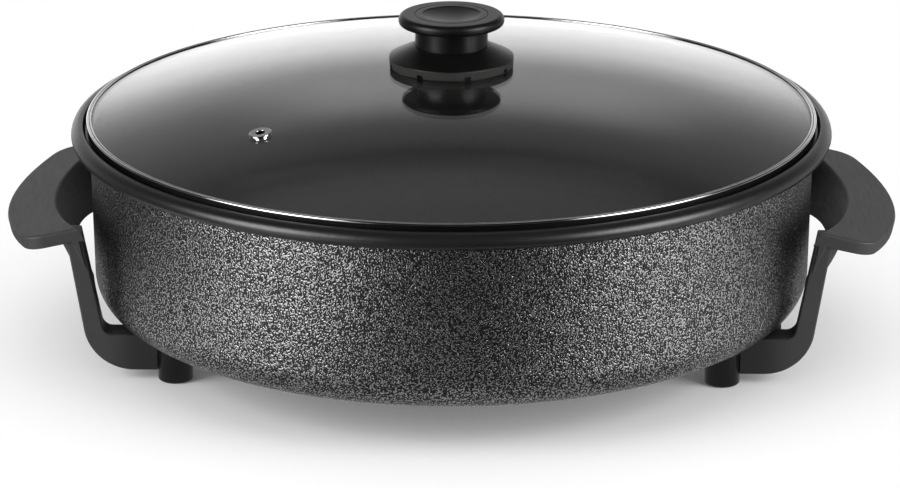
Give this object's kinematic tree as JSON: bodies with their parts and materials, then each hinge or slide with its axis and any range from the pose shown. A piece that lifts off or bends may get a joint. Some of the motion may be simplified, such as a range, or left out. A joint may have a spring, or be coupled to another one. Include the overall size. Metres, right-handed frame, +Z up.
{
  "type": "electric party pan",
  "caption": "Round electric pan with a lift-off domed glass lid, notched knob, side handles that run down into legs, stub feet and an inlet for a plug-in thermostat underneath.",
  "frame": {"origin": "on the table, under the middle of the pan", "axes": "+Z up along the pan's axis, +X towards the handle with the thermostat inlet"},
  "size_m": [0.4932, 0.42, 0.1855],
  "materials": {
    "hammered_pan": "dark hammered paint outside, satin black rim and black non-stick inside",
    "phenolic": "matte moulded",
    "knob_plastic": "satin moulded",
    "lid_glass": "clear",
    "polished_steel": "polished",
    "plated_steel": "plated",
    "bare_aluminium": "as cast",
    "element_sheath": "dull, heat-tinted",
    "ceramic": "glazed",
    "brass": "turned",
    "silicone": "translucent grey"
  },
  "bodies": {
    "pan": {"pan_body": "hammered_pan", "heating_element": "element_sheath", "terminal_beads": "ceramic", "terminal_pins": "plated_steel", "probe_sleeve": "plated_steel", "sleeve_saddle": "bare_aluminium", "inlet_guard": "phenolic", "guard_screws": "plated_steel", "handle_left": "phenolic", "handle_right": "phenolic", "foot_front_left": "phenolic", "foot_front_right": "phenolic", "foot_rear_left": "phenolic", "foot_rear_right": "phenolic", "foot_screws": "plated_steel", "foot_washers": "plated_steel"},
    "lid": {"lid_glass": "lid_glass", "lid_band": "polished_steel", "vent_eyelet": "polished_steel", "knob_base": "knob_plastic", "knob_grip": "knob_plastic", "knob_disc": "knob_plastic", "knob_insert": "brass", "knob_screw": "plated_steel", "knob_gasket": "silicone", "knob_lower_gasket": "silicone", "knob_washer": "plated_steel"}
  },
  "joints": [
    {"name": "lid_lift", "type": "slide", "parent": "pan", "child": "lid", "axis": [0, 0, 1], "range_m": [0, 0.2]}
  ]
}
